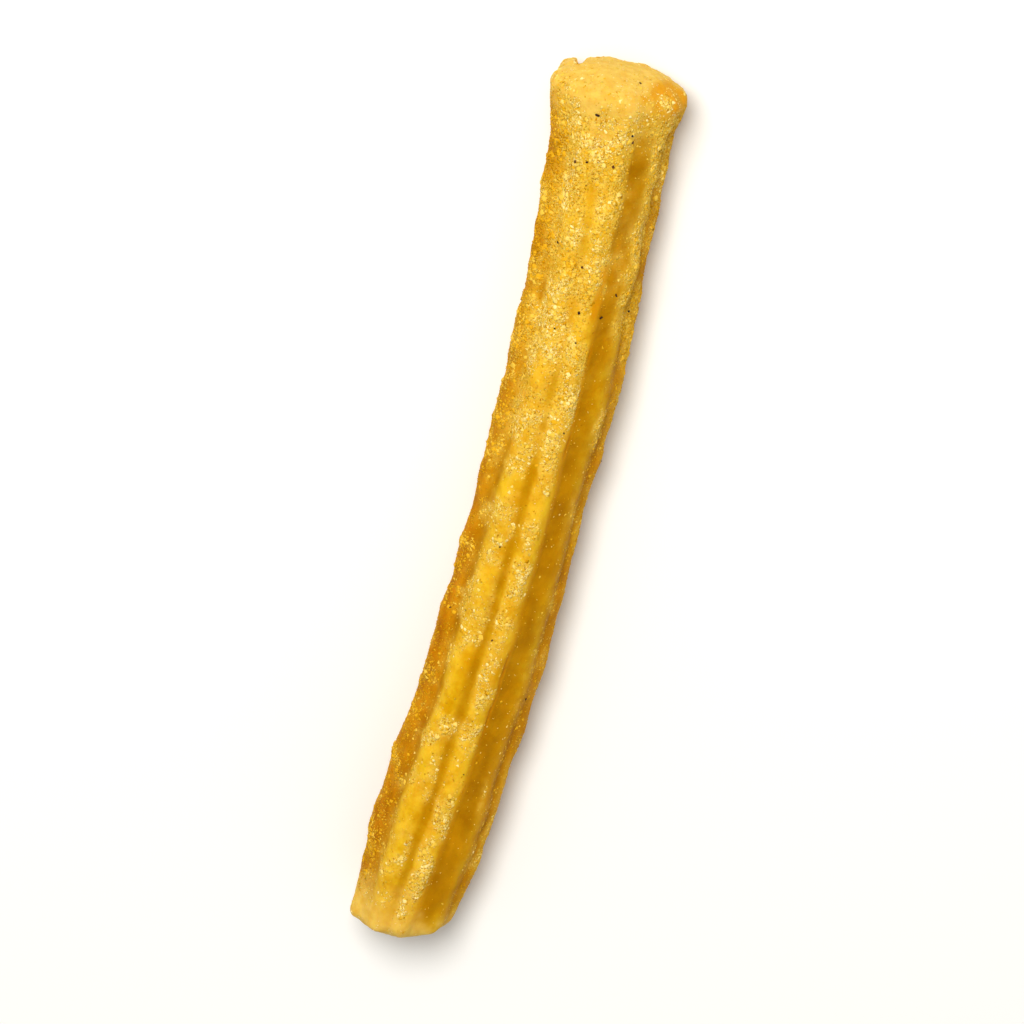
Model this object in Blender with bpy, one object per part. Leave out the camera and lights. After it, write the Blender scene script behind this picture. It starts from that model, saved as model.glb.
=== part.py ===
"""A churro: one ridged stick of fried dough with flared, cut ends, lying on its side.

Run with: blender --background --python part.py
Metres, +Z up. The stick lies along Y, its wider end at +Y, and rests on Z = 0.
Angles go round the stick in degrees, from the top (+Z) towards +X.
"""

import math

import bmesh
import bpy
import numpy as np

NAME = "churro"

# The stick as a whole, in metres
LENGTH = 0.190
CREST_RADIUS = 0.0121  # from the axis to the crest of a ridge
AXIS_HEIGHT = 0.0113  # a little less, so the ridges below are pressed flat
BOW = 0.0042  # how far the middle stands out towards +X

# The ridges that a star nozzle leaves: crest angle, width of left flank, of right flank, height
RIDGES = (
    (-24, 21, 20, 0.00145),
    (9, 21, 18, 0.00165),
    (54, 20, 20, 0.00055),
    (88, 19, 19, 0.00120),
    (124, 20, 20, 0.00160),
    (161, 20, 21, 0.00160),
    (199, 21, 20, 0.00165),
    (243, 24, 22, 0.00170),
    (291, 23, 21, 0.00165),
)
MAX_RIDGE = max(height for _, _, _, height in RIDGES)
FLANK_SHARPNESS = 0.8  # under 1 gives rounder crests and narrower grooves
TWIST = 5.0  # degrees that the ridges turn from end to end
WANDER = 1.6  # degrees that one ridge strays to either side on its way
SWELL = 0.10  # share by which a ridge's height comes and goes
FADE = 0.65  # share of their height that the ridges lose towards an end
FADE_REACH = 0.015
FADED_LEVEL = 0.6  # share of a ridge's height that the dough levels out at

# The ends: nearly flat cuts with a rounded rim, scalloped where the grooves run out
CAP_DEPTH = 0.0050
CAP_SQUARENESS = 2.3  # 2 is an ellipse; more makes a flatter face and a tighter rim
NEAR_SLANT = 0.050  # how much the cut at +Y climbs towards +X
FAR_SLANT = -0.11
SCALLOP = 0.8  # share of its height by which a ridge reaches past the rim
RIM_REACH = 0.009  # how far down the stick the rim's shape is felt
FACE_SHARE = 0.7  # share of the radius over which an end is free of ridges

# The wider end spreads to the left, the top and the right: angle, height, reach
FLARES = (
    (-75, 0.0028, 0.024),
    (0, 0.0013, 0.024),
    (82, 0.0020, 0.012),
)
# The far end draws in
TAPER = 0.0012
TAPER_REACH = 0.024

# Unevenness of the dough: height, size of one swelling, seed of the random waves
LUMPS = (0.00022, 0.036, 3)
BUMPS = (0.00014, 0.013, 8)
WAVES = 14

# The mesh
COLUMNS_PER_RIDGE = 10
CAP_RINGS = 6
BODY_RINGS = 38
DOUGH_COLOUR = (0.72, 0.40, 0.03, 1.0)
DOUGH_ROUGHNESS = 0.5


def smooth(share):
    """An S-shaped ramp from 0 to 1."""
    share = np.clip(share, 0, 1)
    return share * share * (3 - 2 * share)


def unevenness(angle, y, height, size, seed):
    """Random smooth relief, made of waves that close on themselves round the stick."""
    rng = np.random.default_rng(seed)
    relief = np.zeros(np.broadcast(angle, y).shape)
    for _ in range(WAVES):
        heading, phase = rng.uniform(0, 2 * math.pi, 2)
        pitch = 2 * math.pi / (size * rng.uniform(0.8, 1.5))
        turns = round(pitch * CREST_RADIUS * math.cos(heading))
        along = pitch * math.sin(heading)
        relief += np.sin(turns * np.radians(angle) + along * y + phase)
    return height * relief / math.sqrt(WAVES / 2)


def twist(y):
    return TWIST * y / LENGTH


def ridge_relief(angle, y):
    """Height over the floor of the grooves."""
    relief = np.zeros(np.broadcast(angle, y).shape)
    for number, (crest, left, right, height) in enumerate(RIDGES):
        share = y / LENGTH
        stray = np.sin(1.7 * number + share * (5 + number % 4))
        offset = angle - crest - twist(y) - WANDER * stray
        offset = (offset + 180) % 360 - 180
        across = np.clip(np.abs(offset) / np.where(offset < 0, left, right), 0, 1)
        flank = (0.5 + 0.5 * np.cos(math.pi * across)) ** FLANK_SHARPNESS
        swell = 1 + SWELL * np.sin(2.1 * number + share * (9 + 2 * (number % 3)))
        relief += height * swell * flank
    fade = FADE * smooth(1 - (LENGTH / 2 - np.abs(y)) / FADE_REACH)
    return relief + fade * (FADED_LEVEL * MAX_RIDGE - relief)


def flare(angle, y):
    """How much the dough spreads towards the end at +Y."""
    spread = 0
    for centre, height, reach in FLARES:
        side = (0.5 + 0.5 * np.cos(np.radians(angle - centre))) ** 2
        spread = spread + height * side * smooth(1 - (LENGTH / 2 - y) / reach)
    return spread


def taper(y):
    return TAPER * smooth(1 - (y + LENGTH / 2) / TAPER_REACH)


def end_shape(angle, end, share):
    """How far the end's surface stands out past a plain dome, share being 1 at its rim."""
    y = end * (LENGTH / 2 - CAP_DEPTH)
    scallop = SCALLOP * (ridge_relief(angle, y) - FADED_LEVEL * MAX_RIDGE) * share**6
    slant = np.where(end > 0, NEAR_SLANT, FAR_SLANT)
    climb = slant * CREST_RADIUS * np.sin(np.radians(angle)) * share
    return scallop + climb


def skin(angle, end, dome, y):
    """Points on the dough, one row for each angle.

    end is -1 at the far end and 1 at the near one, y is the distance along the axis, and
    dome goes from 0 at the rim of an end to 1 at its middle, being 0 on the stick between.
    """
    past = CAP_DEPTH * np.sin(dome * math.pi / 2) ** (2 / CAP_SQUARENESS)
    share = np.cos(dome * math.pi / 2) ** (2 / CAP_SQUARENESS)
    from_rim = LENGTH / 2 - CAP_DEPTH - np.abs(y)
    pull = smooth(1 - from_rim / RIM_REACH)
    along = y + end * (past + pull * end_shape(angle, end, share))

    ridges = ridge_relief(angle, y) * smooth((share - FACE_SHARE) / (1 - FACE_SHARE))
    swelling = unevenness(angle, y, *LUMPS) + unevenness(angle, y, *BUMPS)
    floor = CREST_RADIUS - MAX_RIDGE
    radius = share * (floor + ridges + swelling + flare(angle, y) - taper(y))
    turn = np.radians(angle)
    x = BOW * (1 - (2 * y / LENGTH) ** 2) + radius * np.sin(turn)
    z = np.maximum(AXIS_HEIGHT + radius * np.cos(turn), 0)
    return np.stack([x, along, z], axis=1)


def column_angles():
    """Angles of the mesh's columns, evenly shared out from each groove to the next."""
    crests = [ridge[0] for ridge in RIDGES]
    grooves = [(a + b) / 2 for a, b in zip(crests, crests[1:] + [crests[0] + 360])]
    starts = [grooves[-1] - 360] + grooves[:-1]
    steps = np.arange(COLUMNS_PER_RIDGE) / COLUMNS_PER_RIDGE
    return np.concatenate([a + (b - a) * steps for a, b in zip(starts, grooves)])


def stations(ring):
    """(end, dome, y) of the rings with these numbers, counted from the far tip."""
    last = 2 * CAP_RINGS + BODY_RINGS
    end = np.where(ring < last / 2, -1, 1)
    dome = np.clip(1 - np.minimum(ring, last - ring) / CAP_RINGS, 0, 1)
    along = np.clip((ring - CAP_RINGS) / BODY_RINGS, 0, 1) - 0.5
    return end, dome, along * (LENGTH - 2 * CAP_DEPTH)


def stick_mesh():
    """A ball of rings and columns, its poles the two tips, drawn out into the stick."""
    columns = column_angles()
    rings = 2 * CAP_RINGS + BODY_RINGS
    bm = bmesh.new()
    bmesh.ops.create_uvsphere(
        bm, u_segments=len(columns), v_segments=rings, radius=1
    )
    ball = np.array([v.co for v in bm.verts])
    around = np.arctan2(ball[:, 1], ball[:, 0]) / (2 * math.pi)
    column = np.floor(around * len(columns)).astype(int) % len(columns)
    latitude = np.arccos(np.clip(-ball[:, 2], -1, 1)) / math.pi
    end, dome, y = stations(np.round(latitude * rings))
    points = skin(columns[column] + twist(y), end, dome, y)
    points[:, :2] -= (points[:, :2].min(axis=0) + points[:, :2].max(axis=0)) / 2
    for vertex, point in zip(bm.verts, points):
        vertex.co = point
    bmesh.ops.recalc_face_normals(bm, faces=bm.faces)
    mesh = bpy.data.meshes.new(NAME)
    bm.to_mesh(mesh)
    bm.free()
    mesh.shade_smooth()
    return mesh


def dough_material():
    material = bpy.data.materials.new("fried_dough")
    material.use_nodes = True
    shader = material.node_tree.nodes["Principled BSDF"]
    shader.inputs["Base Color"].default_value = DOUGH_COLOUR
    shader.inputs["Roughness"].default_value = DOUGH_ROUGHNESS
    return material


def clear_scene():
    for thing in list(bpy.data.objects):
        bpy.data.objects.remove(thing)


def main():
    clear_scene()
    collection = bpy.data.collections.new(NAME)
    bpy.context.scene.collection.children.link(collection)
    churro = bpy.data.objects.new(NAME, stick_mesh())
    churro.data.materials.append(dough_material())
    collection.objects.link(churro)


main()
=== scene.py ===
"""The churro's looks: fried dough with a grainy sugar coat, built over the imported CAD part.

Metres, +Z up. The stick lies along Y, its wider cut end at +Y, and rests on Z = 0.
Angles go round the stick in degrees, from the top (+Z) towards +X.
"""

import itertools
import math
from typing import NamedTuple

import bmesh
import bpy
import numpy as np
from mathutils import Matrix, Vector


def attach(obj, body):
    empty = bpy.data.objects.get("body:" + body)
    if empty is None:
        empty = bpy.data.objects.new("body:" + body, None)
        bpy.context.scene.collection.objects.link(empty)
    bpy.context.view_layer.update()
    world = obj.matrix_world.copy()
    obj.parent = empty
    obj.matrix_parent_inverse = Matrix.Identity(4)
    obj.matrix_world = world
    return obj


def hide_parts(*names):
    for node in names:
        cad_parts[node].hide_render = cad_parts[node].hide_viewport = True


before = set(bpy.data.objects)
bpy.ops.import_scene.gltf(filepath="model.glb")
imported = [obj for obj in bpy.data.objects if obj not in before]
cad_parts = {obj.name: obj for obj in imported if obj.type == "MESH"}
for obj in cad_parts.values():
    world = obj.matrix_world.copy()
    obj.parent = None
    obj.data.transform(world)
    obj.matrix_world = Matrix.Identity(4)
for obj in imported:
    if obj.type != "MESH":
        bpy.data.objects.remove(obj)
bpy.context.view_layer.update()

# --- The dough's form: the same values as in the CAD model ---

LENGTH = 0.190
CREST_RADIUS = 0.0121  # from the axis to the crest of a ridge
AXIS_HEIGHT = 0.0113  # a little less, so the ridges below are pressed flat
BOW = 0.0042  # how far the middle stands out towards +X

# The ridges that a star nozzle leaves: crest angle, width of left flank, of right flank, height
RIDGES = (
    (-24, 21, 20, 0.00145),
    (9, 21, 18, 0.00165),
    (54, 20, 20, 0.00055),
    (88, 19, 19, 0.00120),
    (124, 20, 20, 0.00160),
    (161, 20, 21, 0.00160),
    (199, 21, 20, 0.00165),
    (243, 24, 22, 0.00170),
    (291, 23, 21, 0.00165),
)
TOP_RIDGE = 1  # the one that has a torn crease down its right flank
MAX_RIDGE = max(height for _, _, _, height in RIDGES)
FLANK_SHARPNESS = 0.8  # under 1 gives rounder crests and narrower grooves
TWIST = 5.0  # degrees that the ridges turn from end to end
WANDER = 1.6  # degrees that one ridge strays to either side on its way
SWELL = 0.10  # share by which a ridge's height comes and goes
FADE = 0.65  # share of their height that the ridges lose towards an end
FADE_REACH = 0.015
FADED_LEVEL = 0.6  # share of a ridge's height that the dough levels out at

# The ends: nearly flat cuts with a rounded rim, scalloped where the grooves run out
CAP_DEPTH = 0.0050
CAP_SQUARENESS = 2.3  # 2 is an ellipse; more makes a flatter face and a tighter rim
NEAR_SLANT = 0.050  # how much the cut at +Y climbs towards +X
FAR_SLANT = -0.11
SCALLOP = 0.8  # share of its height by which a ridge reaches past the rim
RIM_REACH = 0.009  # how far down the stick the rim's shape is felt
FACE_SHARE = 0.7  # share of the radius over which an end is free of ridges

# The wider end spreads to the left, the top and the right: angle, height, reach
FLARES = (
    (-75, 0.0028, 0.024),
    (0, 0.0013, 0.024),
    (82, 0.0020, 0.012),
)
# The far end draws in
TAPER = 0.0012
TAPER_REACH = 0.024

# Unevenness of the dough: height, size of one swelling, seed of the random waves
LUMPS = (0.00022, 0.036, 3)
BUMPS = (0.00014, 0.013, 8)
WAVES = 14

# --- The mesh: rows from the far tip to the near one, columns round the stick ---

COLUMNS = 216
CAP_ROWS = 26
BODY_ROWS = 396
ROWS = 2 * CAP_ROWS + BODY_ROWS


def smooth(share):
    """An S-shaped ramp from 0 to 1."""
    share = np.clip(share, 0, 1)
    return share * share * (3 - 2 * share)


def band(offset, half_width, full=1.4):
    """1 close to a line, 0 away from it; it ends full half widths out."""
    return smooth(full - np.abs(offset) / half_width)


def around(angle, centre):
    """Signed angle from centre, from -180 to 180."""
    return (angle - centre + 180) % 360 - 180


def unevenness(angle, y, height, size, seed):
    """Random smooth relief, made of waves that close on themselves round the stick."""
    rng = np.random.default_rng(seed)
    relief = np.zeros(np.broadcast(angle, y).shape)
    for _ in range(WAVES):
        heading, phase = rng.uniform(0, 2 * math.pi, 2)
        pitch = 2 * math.pi / (size * rng.uniform(0.8, 1.5))
        turns = round(pitch * CREST_RADIUS * math.cos(heading))
        along = pitch * math.sin(heading)
        relief += np.sin(turns * np.radians(angle) + along * y + phase)
    return height * relief / math.sqrt(WAVES / 2)


def twist(y):
    """How far the ridges have turned at y."""
    return TWIST * y / LENGTH


def from_crest(number, angle, y):
    """Signed angle from a ridge's crest."""
    stray = np.sin(1.7 * number + y / LENGTH * (5 + number % 4))
    return around(angle, RIDGES[number][0] + twist(y) + WANDER * stray)


def ridge_relief(angle, y):
    """Height over the floor of the grooves."""
    relief = np.zeros(np.broadcast(angle, y).shape)
    for number, (_, left, right, height) in enumerate(RIDGES):
        offset = from_crest(number, angle, y)
        across = np.clip(np.abs(offset) / np.where(offset < 0, left, right), 0, 1)
        flank = (0.5 + 0.5 * np.cos(math.pi * across)) ** FLANK_SHARPNESS
        swell = np.sin(2.1 * number + y / LENGTH * (9 + 2 * (number % 3)))
        relief += height * (1 + SWELL * swell) * flank
    fade = FADE * smooth(1 - (LENGTH / 2 - np.abs(y)) / FADE_REACH)
    return relief + fade * (FADED_LEVEL * MAX_RIDGE - relief)


def flare(angle, y):
    """How much the dough spreads towards the end at +Y."""
    spread = 0
    for centre, height, reach in FLARES:
        side = (0.5 + 0.5 * np.cos(np.radians(angle - centre))) ** 2
        spread = spread + height * side * smooth(1 - (LENGTH / 2 - y) / reach)
    return spread


def end_shape(angle, end, share):
    """How far the end's surface stands out past a plain dome, share being 1 at its rim."""
    y = end * (LENGTH / 2 - CAP_DEPTH)
    scallop = SCALLOP * (ridge_relief(angle, y) - FADED_LEVEL * MAX_RIDGE) * share**6
    slant = np.where(end > 0, NEAR_SLANT, FAR_SLANT)
    return scallop + slant * CREST_RADIUS * np.sin(np.radians(angle)) * share


def skin(angle, end, dome, y):
    """Points on the dough, in the CAD model's own form."""
    past = CAP_DEPTH * np.sin(dome * math.pi / 2) ** (2 / CAP_SQUARENESS)
    share = np.cos(dome * math.pi / 2) ** (2 / CAP_SQUARENESS)
    pull = smooth(1 - (LENGTH / 2 - CAP_DEPTH - np.abs(y)) / RIM_REACH)
    along = y + end * (past + pull * end_shape(angle, end, share))

    ridges = ridge_relief(angle, y) * smooth((share - FACE_SHARE) / (1 - FACE_SHARE))
    swelling = unevenness(angle, y, *LUMPS) + unevenness(angle, y, *BUMPS)
    taper = TAPER * smooth(1 - (y + LENGTH / 2) / TAPER_REACH)
    floor = CREST_RADIUS - MAX_RIDGE
    radius = share * (floor + ridges + swelling + flare(angle, y) - taper)
    turn = np.radians(angle)
    x = BOW * (1 - (2 * y / LENGTH) ** 2) + radius * np.sin(turn)
    return np.stack([x, along, AXIS_HEIGHT + radius * np.cos(turn)], axis=-1)


# --- Random fields in space ---

LATTICE = 24


def noise(points, size, seed):
    """Smooth random values from -1 to 1 that change over the given size."""
    lattice = np.random.default_rng(seed).uniform(-1, 1, (LATTICE,) * 3)
    place = points / size
    cell = np.floor(place).astype(int)
    part = smooth(place - cell)
    total = np.zeros(points.shape[:-1])
    for corner in itertools.product((0, 1), repeat=3):
        weight = np.where(corner, part, 1 - part).prod(axis=-1)
        index = (cell + corner) % LATTICE
        total += weight * lattice[index[..., 0], index[..., 1], index[..., 2]]
    return total


def rough_noise(points, size, seed):
    """Noise with finer noise on top."""
    coarse = noise(points, size, seed)
    middle = noise(points, size * 0.47, seed + 1)
    fine = noise(points, size * 0.21, seed + 2)
    return (coarse + 0.55 * middle + 0.3 * fine) / 1.2


# --- Where the dough is what: shares from 0 to 1 over the grid ---

# The sugar coat: dense near the wider end, then thinning out into patches
COAT_DENSE = 1.20
COAT_SPARSE = 0.16
RIGHT_RIDGE_BARER = 0.35  # by how much less the ridge right of the valley is coated
COAT_THINS_AT = 0.028
COAT_FADE = 0.070
FLAKE_SIZE = 0.0024  # of the soft flakes that the sugar has caked into
VALLEY_ANGLE = 33
VALLEY_HALF_WIDTH = 15
VALLEY_BARER = 1.3
GROOVE_OFFSET = -16.5  # from the top ridge's crest to the narrow groove on its left
GROOVE_HALF_WIDTH = 4.8
GROOVE_BARER = 0.9
PATCH_CONTRAST = 0.9  # how much a patch below adds to the coat or takes from it
# Patches that stayed clean under the coat: angle, distance from the end, half sizes of both
CLEAN_PATCHES = (
    (17, 0.0435, 7, 0.009),
    (-12, 0.019, 4, 0.005),
    (-50, 0.042, 6, 0.009),
    (60, 0.009, 14, 0.005),
)
# Where it stuck all the same, given alike
SUGARY_PATCHES = (
    (19, 0.065, 5, 0.009),
    (16, 0.014, 6, 0.006),
    (-35, 0.060, 8, 0.006),
)
# Clumps of grains on the wider end's rim, given alike
RIM_CLUMPS = (
    (45, 0.0030, 9, 0.0016),
    (57, 0.0058, 8, 0.0022),
    (76, 0.0062, 10, 0.0026),
    (148, 0.0028, 26, 0.0014),
)
# Where frying has turned the dough a deeper orange
AMBER_PATCHES = (
    (17, 0.0435, 8, 0.010),
    (58, 0.002, 44, 0.008),
    (-72, 0.012, 16, 0.007),
    (-34, 0.072, 9, 0.010),
)
# The torn crease at the top ridge's right foot: how far from the wider end it runs
CREASES = (
    (0.055, 0.078),
    (0.121, 0.140),
)
CREASE_LEFT_OVER = 0.12  # how much of it shows between them
CREASE_OFFSET = 13.5  # from the top ridge's crest
CREASE_HALF_WIDTH = 1.4
CLEAN_RIM_ANGLE = -3  # where the pale cut runs furthest over the rim of the wider end
CLEAN_RIM_REACH = 0.0024
# A small tear in that rim: its place along X, and its sizes
NICK_PLACE = -0.0086
NICK_DEPTH = 0.0022
NICK_HALF_WIDTH = 0.0006
# Heights of the crust's small relief
STREAK_HEIGHT = 0.00005
PORE_DEPTH = 0.00020
BLISTER_HEIGHT = 0.00012
KNOB_HEIGHT = 0.00008
KNOBS_IN_COAT = 0.00008  # by how much higher the knobs are under the coat
KNOBS_AT_SIDES = 0.00012  # and down the stick's sides
CRUMB_HEIGHT = 0.00007
FLAKE_HEIGHT = 0.00020
CUT_ROUGHNESS = 0.00013
RIM_ROUGHNESS = (0.00020, 0.00035)  # of its finer and its coarser relief
CREASE_DEPTH = 0.00026
GROOVE_DEPTH = 0.00010


class Dough:
    """The dough's grid of points, with what each point is like."""

    def __init__(self):
        row = np.arange(ROWS + 1)[:, None]
        self.angle = np.broadcast_to(
            np.arange(COLUMNS) * 360 / COLUMNS, (ROWS + 1, COLUMNS)
        )
        end = np.where(row < ROWS / 2, -1, 1)
        dome = np.clip(1 - np.minimum(row, ROWS - row) / CAP_ROWS, 0, 1)
        along = np.clip((row - CAP_ROWS) / BODY_ROWS, 0, 1) - 0.5
        y = np.broadcast_to(along * (LENGTH - 2 * CAP_DEPTH), self.angle.shape)
        # 0 at the middle of a cut end, 1 at its rim and on the stick between
        self.share = np.broadcast_to(
            np.cos(dome * math.pi / 2) ** (2 / CAP_SQUARENESS), self.angle.shape
        )
        # whether a point is on the half with the wider end
        self.near = np.broadcast_to(end > 0, self.angle.shape)
        self.points = skin(self.angle, end, dome, y)
        self.from_end = LENGTH / 2 - self.points[..., 1]
        self.crest = ridge_relief(self.angle, y) / MAX_RIDGE
        self.from_top = from_crest(TOP_RIDGE, self.angle, y)
        self.crease = self.crease_share()
        self.groove = self.groove_share()
        self.coat = self.coat_share()
        self.frost = self.frost_share()
        self.pale = self.pale_share()
        self.amber = self.amber_share()
        self.brown_and_shade = self.brown_and_shade_share()
        self.film = self.film_share()
        self.warmth = self.warmth_of_grains()
        self.points = self.roughened()
        self.normals = outward(self.points)

    def bump(self, centre, distance, half_angle, half_length):
        """1 at a place on the stick, 0 past the given half sizes, with an uneven edge."""
        across = around(self.angle, centre + twist(self.points[..., 1])) / half_angle
        along = (self.from_end - distance) / half_length
        edge = 0.35 * noise(self.points, 0.0025, 43)
        return smooth(1.5 * (1 - np.hypot(across, along) + edge))

    def crease_share(self):
        """The torn crease that comes and goes along the top ridge's right foot."""
        ragged = 2.0 * noise(self.points, 0.0045, 40) + noise(self.points, 0.0013, 41)
        line = band(self.from_top - CREASE_OFFSET - ragged, CREASE_HALF_WIDTH, 1.6)
        torn = CREASE_LEFT_OVER * smooth((self.from_end - CREASES[0][0]) / 0.01)
        for start, end in CREASES:
            inside = np.minimum(self.from_end - start, end - self.from_end)
            torn = np.maximum(torn, smooth(0.5 + inside / 0.004))
        gaps = smooth(0.75 + 1.3 * noise(self.points * [0.3, 1, 0.3], 0.004, 42))
        return line * gaps * torn

    def thinning(self):
        """0 where the coat is dense, 1 where it has thinned out."""
        return smooth((self.from_end - COAT_THINS_AT) / COAT_FADE)

    def cover(self):
        """How far the coat's cover is over what a place needs to hold it."""
        thins = self.thinning()
        wide = rough_noise(self.points * [1, 0.7, 1], 0.0055, 50)
        small = rough_noise(self.points * [1, 0.8, 1], 0.0032, 51)
        patches = 0.5 + 0.9 * (wide * (1 - 0.7 * thins) + small * 0.9 * thins)
        cover = COAT_DENSE + (COAT_SPARSE - COAT_DENSE) * thins
        # where it thins out, the coat keeps to the crests, the sides and the top ridge
        sides = smooth((np.abs(around(self.angle, 0)) - 50) / 25)
        on_top = band(self.from_top + 1, 12, 1.5)
        cover = cover + thins * (0.40 * (self.crest - 0.5) + 0.22 * sides + 0.26 * on_top)
        cover -= VALLEY_BARER * self.valley() * smooth((self.from_end - 0.005) / 0.009)
        right = smooth(around(self.angle, 42) / 12) * smooth(-around(self.angle, 112) / 20)
        cover -= RIGHT_RIDGE_BARER * right * smooth((self.from_end - 0.010) / 0.010)
        cover -= GROOVE_BARER * self.groove
        for patch in CLEAN_PATCHES:
            cover -= PATCH_CONTRAST * self.bump(*patch)
        for patch in SUGARY_PATCHES:
            cover += PATCH_CONTRAST * self.bump(*patch)
        return cover - patches

    def coat_share(self):
        """How much of the dough the sugar's grains cover."""
        coat = smooth(0.5 + self.cover() / 1.3) * self.past_rim(0.0085)
        clumps = [0.8 * self.bump(*clump) for clump in RIM_CLUMPS]
        return np.max([coat, *clumps], axis=0) * self.clear_of_floor()

    def film_share(self):
        """Where fine sugar has melted on in a soft film, which reaches past the grains."""
        return smooth(0.56 + self.cover() / 1.8) * self.past_rim(0.0080)

    def frost_share(self):
        """Where the coat has caked into flakes that stand up from the sugar between them."""
        flakes = rough_noise(self.points, FLAKE_SIZE, 56)
        return self.coat * smooth(0.5 + 1.1 * flakes)

    def valley(self):
        """The broad smooth valley right of the top ridge, which stayed nearly bare."""
        stray = 5 * noise(self.points * [0.3, 1, 0.3], 0.009, 44)
        stray += 3 * noise(self.points, 0.0030, 45)
        offset = around(self.angle, VALLEY_ANGLE + twist(self.points[..., 1]) + stray)
        return band(offset, VALLEY_HALF_WIDTH)

    def groove_share(self):
        """The narrow groove left of the top ridge, which winds a little."""
        stray = 2.2 * noise(self.points * [0.3, 1, 0.3], 0.0075, 46)
        offset = self.from_top - GROOVE_OFFSET + stray
        line = band(offset, GROOVE_HALF_WIDTH, 1.3)
        gaps = 0.7 + 0.5 * noise(self.points, 0.0065, 47)
        return line * np.clip(gaps, 0, 1) * smooth((self.from_end - 0.012) / 0.030)

    def past_rim(self, fade):
        """0 on the cut ends, which were bare when the stick was rolled, 1 past their rims."""
        front = band(around(self.angle, CLEAN_RIM_ANGLE), 28)
        over = np.where(self.near, (front - 0.5) * CLEAN_RIM_REACH, 0)
        from_tip = np.where(self.near, self.from_end, LENGTH - self.from_end)
        edge = 0.0042 * rough_noise(self.points, 0.0046, 55)
        past = smooth((from_tip - 0.6 * CAP_DEPTH - over - edge) / fade)
        return past * smooth((self.share - 0.8) / 0.15)

    def pale_share(self):
        """The cut ends' lighter crumb, which runs least far over the rim on the right."""
        right = smooth(around(self.angle, 15) / 25)
        return 1 - self.past_rim(0.0120 - 0.0070 * right)

    def amber_share(self):
        """Where the dough is a deeper orange: the top ridge's foot and a few patches."""
        foot = 0.4 * band(self.from_top - 12, 4)
        foot *= smooth((self.from_end - 0.034) / 0.01)
        patches = [self.bump(*patch) for patch in AMBER_PATCHES]
        return np.max([foot, *patches], axis=0) * smooth((self.share - 0.4) / 0.4)

    def brown_and_shade_share(self):
        """The stick's two sides, which frying has browned most, darkened further as painted shade
        where they turn away from the light.
        """
        turn = around(self.angle, 0)
        left = smooth((-turn - 38) / 28)
        right = 0.65 * smooth((turn - 46) / 34)
        streaks = 0.8 + 0.35 * noise(self.points * [1, 0.25, 1], 0.0028, 57)
        return np.clip((1.15 * left + right) * streaks, 0, 1) * self.past_rim(0.006)

    def warmth_of_grains(self):
        """Over 0 where the grains are browner, which takes in the painted shade of the stick's
        sides, under 0 where they are paler.
        """
        thins = self.thinning()
        clumps = 0.75 * rough_noise(self.points * [1, 0.7, 1], 0.0040, 58)
        bare = 0.6 * (1 - self.film)
        return self.brown_and_shade + clumps * (1 - 0.5 * thins) - 0.4 * thins - 0.9 * self.pale + bare

    def clear_of_floor(self):
        """0 where the stick touches what it lies on, 1 a little way up from there."""
        return smooth((self.points[..., 2] - 0.0004) / 0.0014)

    def nick(self):
        """The tear, cut back from the wider end through the lower part of its face."""
        across = np.exp(-(((self.points[..., 0] - NICK_PLACE) / NICK_HALF_WIDTH) ** 2))
        low = smooth((AXIS_HEIGHT + 0.002 - self.points[..., 2]) / 0.004)
        return self.near * across * low * smooth(1.5 - self.from_end / 0.006)

    def rim(self):
        """1 along the rims of the cut ends, 0 a little way from them."""
        from_tip = np.minimum(self.from_end, LENGTH - self.from_end)
        return np.exp(-(((from_tip - 0.5 * CAP_DEPTH) / 0.0022) ** 2))

    def roughened(self):
        """The points with the crust's small relief, coarser where sugar has stuck to it."""
        at = self.points
        streaks = noise(at * [1, 0.35, 1], 0.0012, 60)
        pores = np.minimum(noise(at, 0.0021, 61) + 0.45, 0)
        blisters = smooth((noise(at * [1, 0.6, 1], 0.0034, 62) - 0.15) / 0.5)
        knobs = noise(at, 0.0038, 64)
        crumbs = noise(at, 0.0012, 63)
        relief = STREAK_HEIGHT * streaks + PORE_DEPTH * pores + BLISTER_HEIGHT * blisters
        side = smooth((np.abs(around(self.angle, 0)) - 45) / 20)
        relief += (KNOB_HEIGHT + KNOBS_IN_COAT * self.coat + KNOBS_AT_SIDES * side) * knobs
        relief += CRUMB_HEIGHT * self.coat * crumbs + FLAKE_HEIGHT * (self.frost - 0.5 * self.coat)
        relief += CUT_ROUGHNESS * self.pale * rough_noise(at, 0.0019, 65)
        relief += RIM_ROUGHNESS[0] * self.rim() * noise(at, 0.0021, 66)
        relief += RIM_ROUGHNESS[1] * self.rim() * noise(at, 0.0036, 67)
        relief -= CREASE_DEPTH * self.crease + GROOVE_DEPTH * self.groove
        # the rows draw together at the tips, where relief would fold the mesh
        fade = smooth(np.minimum(np.arange(ROWS + 1), np.arange(ROWS, -1, -1)) / 8)
        points = at + outward(at) * (relief * fade[:, None])[..., None]
        points[..., 1] -= NICK_DEPTH * self.nick()
        points[..., 2] = np.maximum(points[..., 2], 0)
        return points


def outward(points):
    """Outward directions of the grid, from the differences between its points."""
    down = np.gradient(points, axis=0)
    across = np.roll(points, -1, axis=1) - np.roll(points, 1, axis=1)
    normal = np.cross(across, down)
    length = np.linalg.norm(normal, axis=-1, keepdims=True)
    normal = normal / np.maximum(length, 1e-15)
    normal[0], normal[-1] = (0, -1, 0), (0, 1, 0)
    return normal


# --- Meshes from arrays ---


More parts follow.
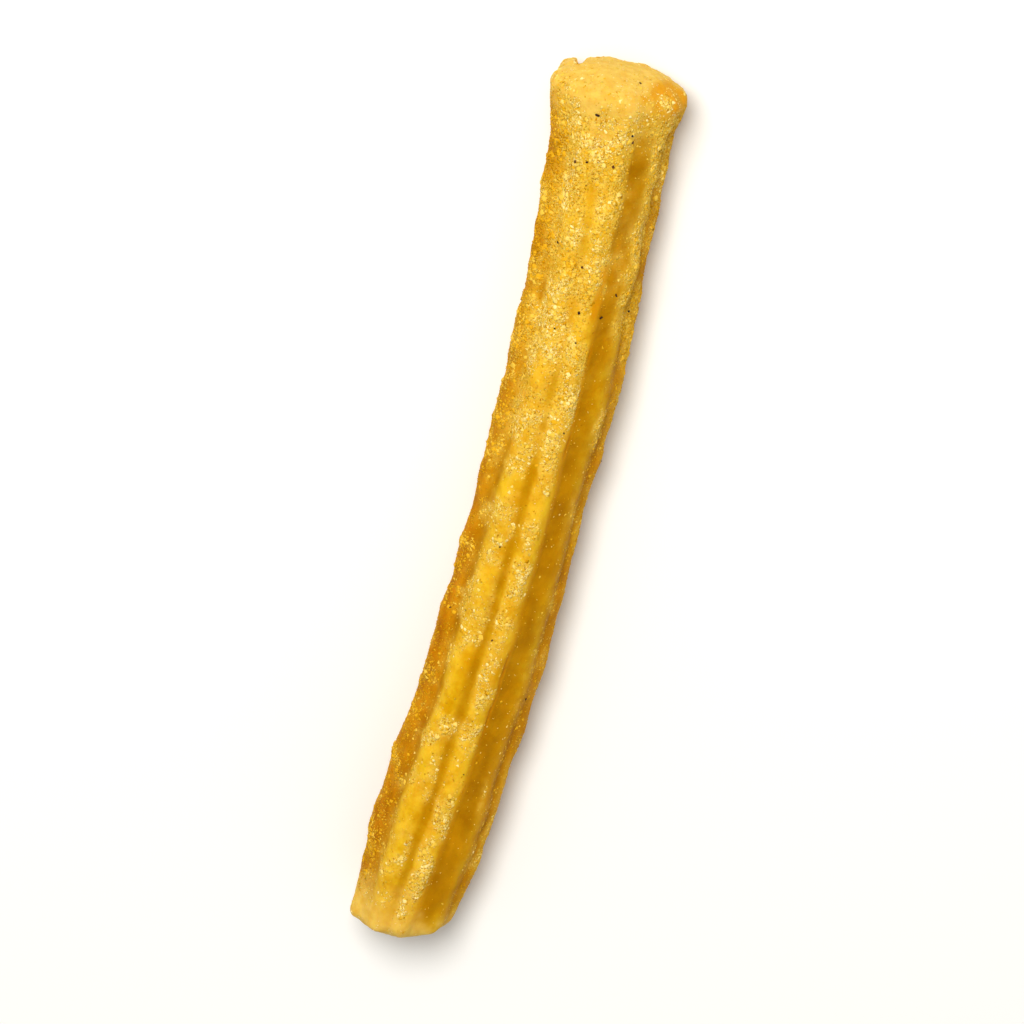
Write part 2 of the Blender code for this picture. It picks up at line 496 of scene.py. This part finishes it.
def mesh_from(name, points, corners, counts):
    """A mesh of faces given by their corners' vertex numbers, one face after another."""
    mesh = bpy.data.meshes.new(name)
    mesh.vertices.add(len(points))
    mesh.vertices.foreach_set("co", np.ravel(points))
    mesh.loops.add(len(corners))
    mesh.loops.foreach_set("vertex_index", corners)
    mesh.polygons.add(len(counts))
    mesh.polygons.foreach_set("loop_start", np.cumsum(counts) - counts)
    mesh.update(calc_edges=True)
    return mesh


def add_piece(name, mesh):
    """A visible piece that belongs to the churro."""
    piece = bpy.data.objects.new(name, mesh)
    bpy.context.scene.collection.objects.link(piece)
    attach(piece, "root")
    return piece


def add_share(mesh, name, values):
    """Gives each of a mesh's points a value that its material can read."""
    mesh.attributes.new(name, "FLOAT", "POINT").data.foreach_set("value", values)


# What the dough's material reads, each a field of Dough
SHARES = ("coat", "film", "frost", "crease", "crest", "groove", "pale", "amber", "brown_and_shade")


def add_dough(dough):
    """The dough's piece: quads between the rows, and a fan round each tip's single point."""
    body = dough.points[1:ROWS].reshape(-1, 3)
    points = np.concatenate([body, dough.points[[0, ROWS], 0]])
    first = np.arange((ROWS - 2) * COLUMNS).reshape(-1, COLUMNS)
    right = np.roll(first, -1, axis=1)
    quads = np.stack([first, right, right + COLUMNS, first + COLUMNS], axis=-1)
    far_tip, near_tip = len(body), len(body) + 1
    start, after = first[0], right[0]
    far_fan = np.stack([np.full(COLUMNS, far_tip), after, start], axis=-1)
    last = (ROWS - 2) * COLUMNS
    near_fan = np.stack([np.full(COLUMNS, near_tip), start + last, after + last], axis=-1)
    corners = np.concatenate([quads.ravel(), far_fan.ravel(), near_fan.ravel()])
    counts = np.concatenate([np.full(quads.size // 4, 4), np.full(2 * COLUMNS, 3)])
    mesh = mesh_from("dough", points, corners, counts)
    mesh.shade_smooth()
    for name in SHARES:
        field = getattr(dough, name)
        values = np.concatenate([field[1:ROWS].ravel(), field[[0, ROWS], 0]])
        add_share(mesh, name, values)
    unwrap(mesh, corners, counts)
    piece = add_piece("dough", mesh)
    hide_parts("churro")
    return piece


def unwrap(mesh, corners, counts):
    """Lays the skin out flat for baking: round the stick along U, along it on V."""
    row, column = np.divmod(corners, COLUMNS)
    face = np.repeat(np.arange(len(counts)), counts)
    # the two tips' points come after those of the rows
    pole = corners >= (ROWS - 1) * COLUMNS
    row = np.where(pole, np.where(column == 0, -1, ROWS - 1), row)
    column = column.astype(float)
    own = np.where(pole, np.nan, column)
    lowest = np.full(len(counts), np.inf)
    np.fmin.at(lowest, face, own)
    highest = np.full(len(counts), -np.inf)
    np.fmax.at(highest, face, own)
    # a face that closes the round has the first column's points past the last one
    wraps = (highest - lowest) > COLUMNS / 2
    column += COLUMNS * (wraps[face] & (column == 0) & ~pole)
    # a tip's point goes midway between its face's other two
    middle = np.where(wraps, COLUMNS - 0.5, lowest + 0.5)
    column = np.where(pole, middle[face], column)
    uv = np.stack([column / COLUMNS, (row + 1) / ROWS], axis=-1)
    mesh.uv_layers.new(name="OFBake").data.foreach_set("uv", uv.ravel())


# --- Sugar and spice: loose pieces scattered over the dough ---

GRAIN_FLATNESS = 0.48  # a grain's height as a share of its width
FLAKE_FLATNESS = 0.28
GRAIN_TILT = 0.16  # how far a grain leans: the tangent of a typical angle
WARMTH = 0.80  # how much a place's warmth sways which tints its grains have


def crystal_shapes(count, seed, chip, rough, flatness=GRAIN_FLATNESS):
    """Closed block-like shapes one unit across: points for each, and their shared faces."""
    bm = bmesh.new()
    bmesh.ops.create_cube(bm, size=1)
    if chip:
        bmesh.ops.bevel(
            bm, geom=bm.edges[:], offset=chip, segments=1, affect="EDGES", profile=0.5
        )
    bmesh.ops.triangulate(bm, faces=bm.faces[:])
    bm.verts.index_update()
    block = np.array([v.co for v in bm.verts])
    # the bevel's faces come in an order that varies from run to run
    faces = np.array(sorted([v.index for v in f.verts] for f in bm.faces))
    bm.free()
    return vary(block, count, seed, rough, flatness), faces


def chip_shapes(count, seed, rough):
    """Closed eight-sided shapes one unit across."""
    tips = np.array(
        [(1, 0, 0), (-1, 0, 0), (0, 1, 0), (0, -1, 0), (0, 0, 1), (0, 0, -1)]
    )
    faces = [(0, 2, 4), (2, 1, 4), (1, 3, 4), (3, 0, 4)]
    faces += [(2, 0, 5), (1, 2, 5), (3, 1, 5), (0, 3, 5)]
    return vary(tips * 0.5, count, seed, rough, GRAIN_FLATNESS), np.array(faces)


def shard_shapes(count, seed):
    """Closed four-sided shapes one unit across."""
    tips = np.array([(1, 1, 1), (1, -1, -1), (-1, 1, -1), (-1, -1, 1)])
    faces = np.array([(0, 1, 2), (0, 3, 1), (0, 2, 3), (1, 3, 2)])
    return vary(tips * 0.5, count, seed, 0.15, GRAIN_FLATNESS), faces


def vary(block, count, seed, rough, flatness):
    """Copies of a shape, each stretched and dented in its own way, and lower than wide."""
    rng = np.random.default_rng(seed)
    stretch = rng.uniform(0.65, 1.15, (count, 1, 3)) * [1, 1, flatness]
    dents = rng.uniform(-rough, rough, (count, *block.shape))
    return block * stretch + dents


def lying_turns(rng, normals):
    """Rotation matrices that lay shapes along the dough, each a little tilted."""
    up = normals + GRAIN_TILT * rng.normal(size=normals.shape)
    up /= np.linalg.norm(up, axis=1, keepdims=True)
    side = np.cross(up, rng.normal(size=normals.shape))
    side /= np.linalg.norm(side, axis=1, keepdims=True)
    return np.stack([side, np.cross(up, side), up], axis=-1)


def cell_areas(dough):
    """Areas of the grid's cells."""
    across = np.roll(dough.points, -1, axis=1) - dough.points
    down = dough.points[1:] - dough.points[:-1]
    return np.linalg.norm(np.cross(across[:-1], down), axis=-1)


def scatter(dough, density, count, rng):
    """Random places on the dough, as thick as density says: points, normals, warmth."""
    chance = cell_areas(dough) * density[:-1]
    chosen = rng.choice(chance.size, count, p=chance.ravel() / chance.sum())
    row, column = np.divmod(chosen, COLUMNS)
    down, across = rng.uniform(0, 1, (2, count, 1))
    beside = (column + 1) % COLUMNS

    def blend(field):
        low = field[row, column] * (1 - across) + field[row, beside] * across
        high = field[row + 1, column] * (1 - across) + field[row + 1, beside] * across
        return low * (1 - down) + high * down

    return blend(dough.points), blend(dough.normals), blend(dough.warmth[..., None])[:, 0]


def draw_tints(shares, warmth, rng):
    """Each grain's tint: a warmer place has more of the warmer ones, which come first."""
    draw = rng.uniform(0, sum(shares), len(warmth)) * (1 - WARMTH * warmth)
    return np.searchsorted(np.cumsum(shares)[:-1], draw)


def grains_mesh(name, shapes, places, sizes, sunk, tints, rng):
    """One mesh of many grains, each lying on the dough and partly sunk into it."""
    blocks, faces = shapes
    points, normals, warmth = places
    count = len(points)
    block = blocks[rng.integers(len(blocks), size=count)]
    block = np.einsum("nij,nvj->nvi", lying_turns(rng, normals), block)
    centres = points + normals * (sizes * (0.5 - sunk))[:, None]
    corners = centres[:, None] + block * sizes[:, None, None]
    corners[..., 2] = np.maximum(corners[..., 2], 0)
    index = faces[None] + np.arange(count)[:, None, None] * blocks.shape[1]
    mesh = mesh_from(
        name, corners.reshape(-1, 3), index.ravel(), np.full(count * len(faces), 3)
    )
    for material, _ in tints:
        mesh.materials.append(material)
    drawn = draw_tints([share for _, share in tints], warmth, rng)
    mesh.polygons.foreach_set("material_index", np.repeat(drawn, len(faces)))
    return mesh


# name, tint, roughness, gloss and share of the grains, from the warmest tint to the palest
SUGAR_TINTS = (
    ("sugar_amber", "#CC8E0A", 0.60, 0.02, 0.10),
    ("sugar_honey", "#E0A81E", 0.55, 0.02, 0.24),
    ("sugar_clear", "#EABE42", 0.50, 0.03, 0.34),
    ("sugar_cream", "#F2D06A", 0.50, 0.03, 0.28),
    ("sugar_white", "#FAE090", 0.35, 0.10, 0.04),
)


class Kind(NamedTuple):
    """A kind of sugar grain."""

    name: str
    count: int
    smallest: float  # of the grains' widths
    largest: float
    sunk: float  # at 0.5 a grain's middle is level with the skin, and at more it is lower
    tints: slice  # which of SUGAR_TINTS it has
    melted: bool  # whether its edges have gone soft


SUGAR_KINDS = (
    Kind("sugar_dust", 45000, 0.00022, 0.00036, 0.52, slice(0, 5), True),
    Kind("sugar_fine", 22000, 0.00030, 0.00052, 0.62, slice(0, 5), True),
    Kind("sugar_grains", 13000, 0.00036, 0.00064, 0.70, slice(0, 5), False),
    Kind("sugar_crystals", 3200, 0.00050, 0.00086, 0.70, slice(1, 5), False),
    Kind("sugar_flakes", 1500, 0.00065, 0.00115, 0.60, slice(1, 4), True),
)


def sugar_densities(dough):
    """How thick each kind of grain lies at each point of the dough."""
    thick = 0.20 * dough.coat**1.5 + dough.frost**1.2 + 0.07 * dough.rim() * dough.near
    thick += 0.16 * dough.brown_and_shade * dough.clear_of_floor()
    clumps = smooth((noise(dough.points, 0.0018, 73) - 0.2) / 0.4)
    strays = 1 - 0.6 * dough.pale
    return {
        "sugar_dust": thick + 0.020 * strays,
        "sugar_fine": thick + 0.012 * strays,
        "sugar_grains": thick + 0.006 * strays,
        "sugar_crystals": thick * (0.12 + clumps) + 0.003 * strays,
        "sugar_flakes": dough.frost**2,
    }


def add_sugar(dough):
    """The sugar coat: one piece for each kind of grain."""
    rng = np.random.default_rng(70)
    tints = [(sugar_material(*tint[:4]), tint[4]) for tint in SUGAR_TINTS]
    shapes = {
        "sugar_dust": shard_shapes(24, 69),
        "sugar_fine": chip_shapes(24, 71, 0.12),
        "sugar_grains": crystal_shapes(24, 72, 0, 0.12),
        "sugar_crystals": crystal_shapes(24, 74, 0.16, 0.06),
        "sugar_flakes": crystal_shapes(24, 75, 0.2, 0.16, FLAKE_FLATNESS),
    }
    densities = sugar_densities(dough)
    for kind in SUGAR_KINDS:
        places = scatter(dough, densities[kind.name], kind.count, rng)
        sizes = rng.uniform(kind.smallest, kind.largest, kind.count)
        mesh = grains_mesh(
            kind.name, shapes[kind.name], places, sizes, kind.sunk, tints[kind.tints], rng
        )
        if kind.melted:
            mesh.shade_smooth()
        add_piece(kind.name, mesh)


# name, tint and share of the specks
SPICE_TINTS = (
    ("spice_dark", "#351A0C", 0.6),
    ("spice_red", "#5A2C12", 0.4),
)
DEGREE = 0.0002  # about how wide a degree is on the dough
SPICE_SPECKS = 42
SPICE_SIZES = (0.00025, 0.00045)
BOLD_SIZES = (0.00045, 0.0006)
SPICE_SUNK = 0.25
SPICE_ON_BARE = 0.35  # how thick it lies where there is no coat that could hold it
# Those that stand out: angle and distance from the wider end
BOLD_SPECKS = (
    (25, 0.0007),
    (-15, 0.0074),
    (-13, 0.0075),
    (19, 0.0100),
    (20, 0.0113),
    (-29, 0.0181),
    (-16, 0.0174),
    (6, 0.0168),
    (-34, 0.0353),
    (-3, 0.0388),
    (40, 0.0433),
    (3, 0.0478),
    (28, 0.0482),
)


def nearest(dough, angle, distance):
    """The grid's point at an angle and a distance from the wider end, and its normal."""
    off = np.hypot(around(dough.angle, angle) * DEGREE, dough.from_end - distance)
    at = np.unravel_index(np.argmin(off), off.shape)
    return dough.points[at], dough.normals[at]


def add_spice(dough):
    """The dark specks of spice: scattered ones, and a few that stand out."""
    rng = np.random.default_rng(80)
    points, normals, _ = scatter(dough, SPICE_ON_BARE + dough.coat, SPICE_SPECKS, rng)
    bold = [nearest(dough, *speck) for speck in BOLD_SPECKS]
    points = np.concatenate([points, [point for point, _ in bold]])
    normals = np.concatenate([normals, [normal for _, normal in bold]])
    warmth = np.zeros(len(points))
    sizes = rng.uniform(*SPICE_SIZES, len(points))
    sizes[SPICE_SPECKS:] = rng.uniform(*BOLD_SIZES, len(bold))
    tints = [(spice_material(name, tint), share) for name, tint, share in SPICE_TINTS]
    shapes = crystal_shapes(12, 81, 0.2, 0.12)
    places = (points, normals, warmth)
    mesh = grains_mesh("spice", shapes, places, sizes, SPICE_SUNK, tints, rng)
    add_piece("spice", mesh)


# --- Materials ---


def colour(code):
    """Linear RGBA of an sRGB colour such as #FFCC00."""
    shades = [int(code[i : i + 2], 16) / 255 for i in (1, 3, 5)]
    linear = [s / 12.92 if s < 0.04045 else ((s + 0.055) / 1.055) ** 2.4 for s in shades]
    return (*linear, 1)


class Nodes:
    """Shorthand for building a material's node tree."""

    def __init__(self, name):
        self.material = bpy.data.materials.new(name)
        self.material.use_nodes = True
        self.tree = self.material.node_tree
        self.shader = self.tree.nodes["Principled BSDF"]

    def set(self, **values):
        """Sets the shader's inputs, each named with _ for a space."""
        for name, value in values.items():
            self.shader.inputs[name.replace("_", " ")].default_value = value

    def add(self, kind, settings=(), **inputs):
        """A new node with its settings and inputs."""
        node = self.tree.nodes.new(kind)
        for name, value in dict(settings).items():
            setattr(node, name, value)
        for name, value in inputs.items():
            self.feed(node.inputs[name.replace("_", " ")], value)
        return node

    def feed(self, socket, value):
        """Links another node's output to a socket, or gives it a value or a tint."""
        if isinstance(value, bpy.types.NodeSocket):
            self.tree.links.new(value, socket)
        else:
            socket.default_value = colour(value) if isinstance(value, str) else value

    def share(self, name):
        """One of the mesh's shares."""
        return self.add("ShaderNodeAttribute", {"attribute_name": name}).outputs["Fac"]

    def noise(self, place, scale, detail=3.0):
        """Noise from 0 to 1 that turns over scale times a metre."""
        node = self.add(
            "ShaderNodeTexNoise", Vector=place, Scale=scale, Detail=detail
        )
        return node.outputs["Fac"]

    def ramp(self, value, low, high, low_out=0.0, high_out=1.0):
        """An S-shaped ramp, flat below low and above high."""
        node = self.add("ShaderNodeMapRange", {"interpolation_type": "SMOOTHSTEP"})
        for name, number in (
            ("Value", value),
            ("From Min", low),
            ("From Max", high),
            ("To Min", low_out),
            ("To Max", high_out),
        ):
            self.feed(node.inputs[name], number)
        return node.outputs["Result"]

    def math(self, operation, first, second):
        node = self.add("ShaderNodeMath", {"operation": operation})
        self.feed(node.inputs[0], first)
        self.feed(node.inputs[1], second)
        return node.outputs[0]

    def mix(self, share, first, second):
        """The first tint where share is 0, the second where it is 1."""
        node = self.add("ShaderNodeMix", {"data_type": "RGBA"})
        for number, value in ((0, share), (6, first), (7, second)):
            self.feed(node.inputs[number], value)
        return node.outputs[2]


# The dough's tints: two for what is mottled, and the second shows where the noise is high
GOLDEN_TINTS = ("#CC9404", "#DEB01A")
# painted shade: the darker tints laid into the grooves
GROOVE_SHADE_TINTS = ("#9E6601", "#B87E04")
# the sides: real browning mixed with painted shade where they turn from the light
BROWN_AND_SHADE_TINTS = ("#A25E04", "#C07806")
FILM_TINTS = ("#E9BA3E", "#D9A220")
CRUMB_TINTS = ("#DAAA40", "#E5BD55")
STREAK_TINT = "#D09204"
# painted highlight: the pale clouds that are kept to the crests
CLOUD_HIGHLIGHT_TINT = "#E8BA28"
AMBER_TINT = "#D89208"
FROST_TINT = "#EFCA5A"
CREASE_TINT = "#C07204"
PIT_TINT = "#C88E26"


def fried_tint(n, place, streaks, amber):
    """The bare crust: golden, darker in the grooves as painted shade, paler on the crests as a
    painted highlight, and at the sides browned by frying with painted shade.
    """
    crest = n.share("crest")
    golden = n.mix(n.ramp(n.noise(place, 380, 5), 0.36, 0.64), *GOLDEN_TINTS)
    tint = n.mix(n.ramp(n.noise(streaks, 130, 4), 0.35, 0.68), golden, STREAK_TINT)
    # painted shade: the tint darkens where the dough lies low between ridges, and more in the
    # narrow groove
    foot = n.mix(n.ramp(n.noise(place, 240, 6), 0.3, 0.72), *GROOVE_SHADE_TINTS)
    groove = n.math("MULTIPLY", n.share("groove"), 0.6)
    low = n.math("MAXIMUM", n.ramp(crest, 0.0, 0.6, 0.9, 0.0), groove)
    tint = n.mix(low, tint, foot)
    # painted highlight on the crests, mixed with real mottling
    clouds_and_highlight = n.ramp(n.noise(place, 290, 5), 0.46, 0.66, 0.0, 0.75)
    clouds_and_highlight = n.math("MULTIPLY", clouds_and_highlight, n.ramp(crest, 0.3, 0.8))
    tint = n.mix(clouds_and_highlight, tint, CLOUD_HIGHLIGHT_TINT)
    tint = n.mix(amber, tint, AMBER_TINT)
    # browning of the sides mixed with painted shade
    browned_and_shaded = n.mix(n.ramp(n.noise(streaks, 420), 0.38, 0.62), *BROWN_AND_SHADE_TINTS)
    return n.mix(n.share("brown_and_shade"), tint, browned_and_shaded)


def sugared_tint(n, crust, grains):
    """The film of melted sugar and the caked flakes, which show least on the browned crust and
    painted shade of the sides.
    """
    kept = n.ramp(n.share("brown_and_shade"), 0.0, 1.0, 0.75, 0.15)
    film = n.mix(n.ramp(grains, 0.2, 0.9), *FILM_TINTS)
    tint = n.mix(n.math("MULTIPLY", n.share("film"), kept), crust, film)
    return n.mix(n.math("MULTIPLY", n.share("frost"), kept), tint, FROST_TINT)


def crumb_tint(n, place):
    """The pale crumb of the cut ends, with small darker pits."""
    crumb = n.mix(n.ramp(n.noise(place, 560, 6), 0.30, 0.70), *CRUMB_TINTS)
    pits = n.ramp(n.noise(place, 1300), 0.62, 0.74, 0.0, 0.45)
    return n.mix(pits, crumb, PIT_TINT)


def crust_normal(n, place, grains):
    """The finest relief: the crust's pores, and sugar grains too small for the mesh."""
    pores = n.math("ADD", n.noise(place, 1500), n.noise(place, 520, 4))
    sunk = n.math("MULTIPLY", n.math("MULTIPLY", grains, n.share("coat")), -0.7)
    height = n.math("ADD", pores, sunk)
    bump = n.add("ShaderNodeBump", Strength=0.6, Distance=0.0002, Height=height)
    return bump.outputs["Normal"]


def dough_material():
    """Fried crust, melted sugar and crumb; the mesh's shares say which of them is where."""
    n = Nodes("fried_dough")
    place = n.add("ShaderNodeTexCoord").outputs["Object"]
    streaks = n.add("ShaderNodeMapping", Vector=place, Scale=(1, 0.3, 1)).outputs["Vector"]
    grains = n.add("ShaderNodeTexVoronoi", Vector=place, Scale=1900).outputs["Distance"]

    spots = n.ramp(n.noise(streaks, 210), 0.56, 0.74, 0.0, 0.4)
    amber = n.math("MAXIMUM", spots, n.share("amber"))
    tint = sugared_tint(n, fried_tint(n, place, streaks, amber), grains)
    tint = n.mix(n.math("MULTIPLY", n.share("crease"), 0.6), tint, CREASE_TINT)
    pale = n.math("MULTIPLY", n.share("pale"), n.ramp(amber, 0.2, 0.9, 1.0, 0.1))
    tint = n.mix(pale, tint, crumb_tint(n, place))

    n.feed(n.shader.inputs["Base Color"], tint)
    shine = n.ramp(n.noise(place, 260), 0.3, 0.7, 0.50, 0.68)
    n.feed(n.shader.inputs["Roughness"], shine)
    n.feed(n.shader.inputs["Normal"], crust_normal(n, place, grains))
    n.set(
        Specular_IOR_Level=0.05,
        Specular_Tint=colour("#FFC858"),
        Subsurface_Weight=0.4,
        Subsurface_Radius=(1.0, 0.5, 0.08),
        Subsurface_Scale=0.0012,
    )
    return n.material


def sugar_material(name, tint, roughness, gloss):
    n = Nodes(name)
    n.set(
        Base_Color=colour(tint),
        Roughness=roughness,
        Specular_IOR_Level=gloss,
        Specular_Tint=colour("#FFE0A0"),
    )
    return n.material


def spice_material(name, tint):
    n = Nodes(name)
    n.set(Base_Color=colour(tint), Roughness=0.7, Specular_IOR_Level=0.2)
    return n.material


# --- Studio: floor, light and camera ---

FLOOR_SIZE = 6.0
CAMERA_TILT = 20  # degrees from straight above the stick towards its wider end
CAMERA_ROLL = 15  # degrees that the stick leans to the right in the picture
CAMERA_DISTANCE = 1.2
CAMERA_LENS = 211
KEY_PLACE = (-0.18, 0.45, 0.88)
KEY_SIZE = 0.45
KEY_WATTS = 9.4
KEY_TINT = "#FFFDF8"
SKY = 0.48  # the strength of the even white light from all sides


def add_floor():
    """The plain pale floor that the churro lies on."""
    mesh = bpy.data.meshes.new("floor")
    half = FLOOR_SIZE / 2
    corners = [(-half, -half, 0), (half, -half, 0), (half, half, 0), (-half, half, 0)]
    mesh.from_pydata(corners, [], [(0, 1, 2, 3)])
    n = Nodes("floor")
    n.set(Base_Color=colour("#F4F3F0"), Roughness=0.8)
    mesh.materials.append(n.material)
    floor = bpy.data.objects.new("floor", mesh)
    bpy.context.scene.collection.objects.link(floor)


def add_lights():
    """One large soft lamp from above the wider end, and a white sky."""
    light = bpy.data.lights.new("key", "AREA")
    light.shape, light.size, light.energy = "DISK", KEY_SIZE, KEY_WATTS
    light.color = colour(KEY_TINT)[:3]
    lamp = bpy.data.objects.new("key", light)
    lamp.location = KEY_PLACE
    lamp.rotation_euler = (-Vector(KEY_PLACE)).to_track_quat("-Z", "Y").to_euler()
    bpy.context.scene.collection.objects.link(lamp)
    world = bpy.data.worlds.new("studio")
    world.use_nodes = True
    background = world.node_tree.nodes["Background"]
    background.inputs["Color"].default_value = (1, 1, 1, 1)
    background.inputs["Strength"].default_value = SKY
    bpy.context.scene.world = world


def add_camera(target):
    """Looks down on the stick, with the wider end at the top of the picture."""
    tilt = math.radians(CAMERA_TILT)
    back = Vector((0, math.sin(tilt), math.cos(tilt)))
    up = Vector((0, math.cos(tilt), -math.sin(tilt)))
    turn = Matrix.Rotation(math.radians(CAMERA_ROLL), 3, back)
    up = turn @ up
    camera = bpy.data.objects.new("camera", bpy.data.cameras.new("camera"))
    camera.data.lens = CAMERA_LENS
    right = up.cross(back)
    camera.matrix_world = Matrix((right, up, back)).transposed().to_4x4()
    camera.location = target + back * CAMERA_DISTANCE
    bpy.context.scene.collection.objects.link(camera)
    bpy.context.scene.camera = camera


def centre_shift(points):
    """How far the form is off centre, seen from above."""
    plan = points[..., :2].reshape(-1, 2)
    return (plan.min(axis=0) + plan.max(axis=0)) / 2


def dress():
    """Builds everything that shows."""
    dough = Dough()
    dough.points[..., :2] -= centre_shift(dough.points)
    add_dough(dough).data.materials.append(dough_material())
    add_sugar(dough)
    add_spice(dough)
    add_floor()
    add_lights()
    add_camera(Vector((0, 0, CREST_RADIUS)))
    bpy.context.scene.view_settings.view_transform = "Standard"


dress()
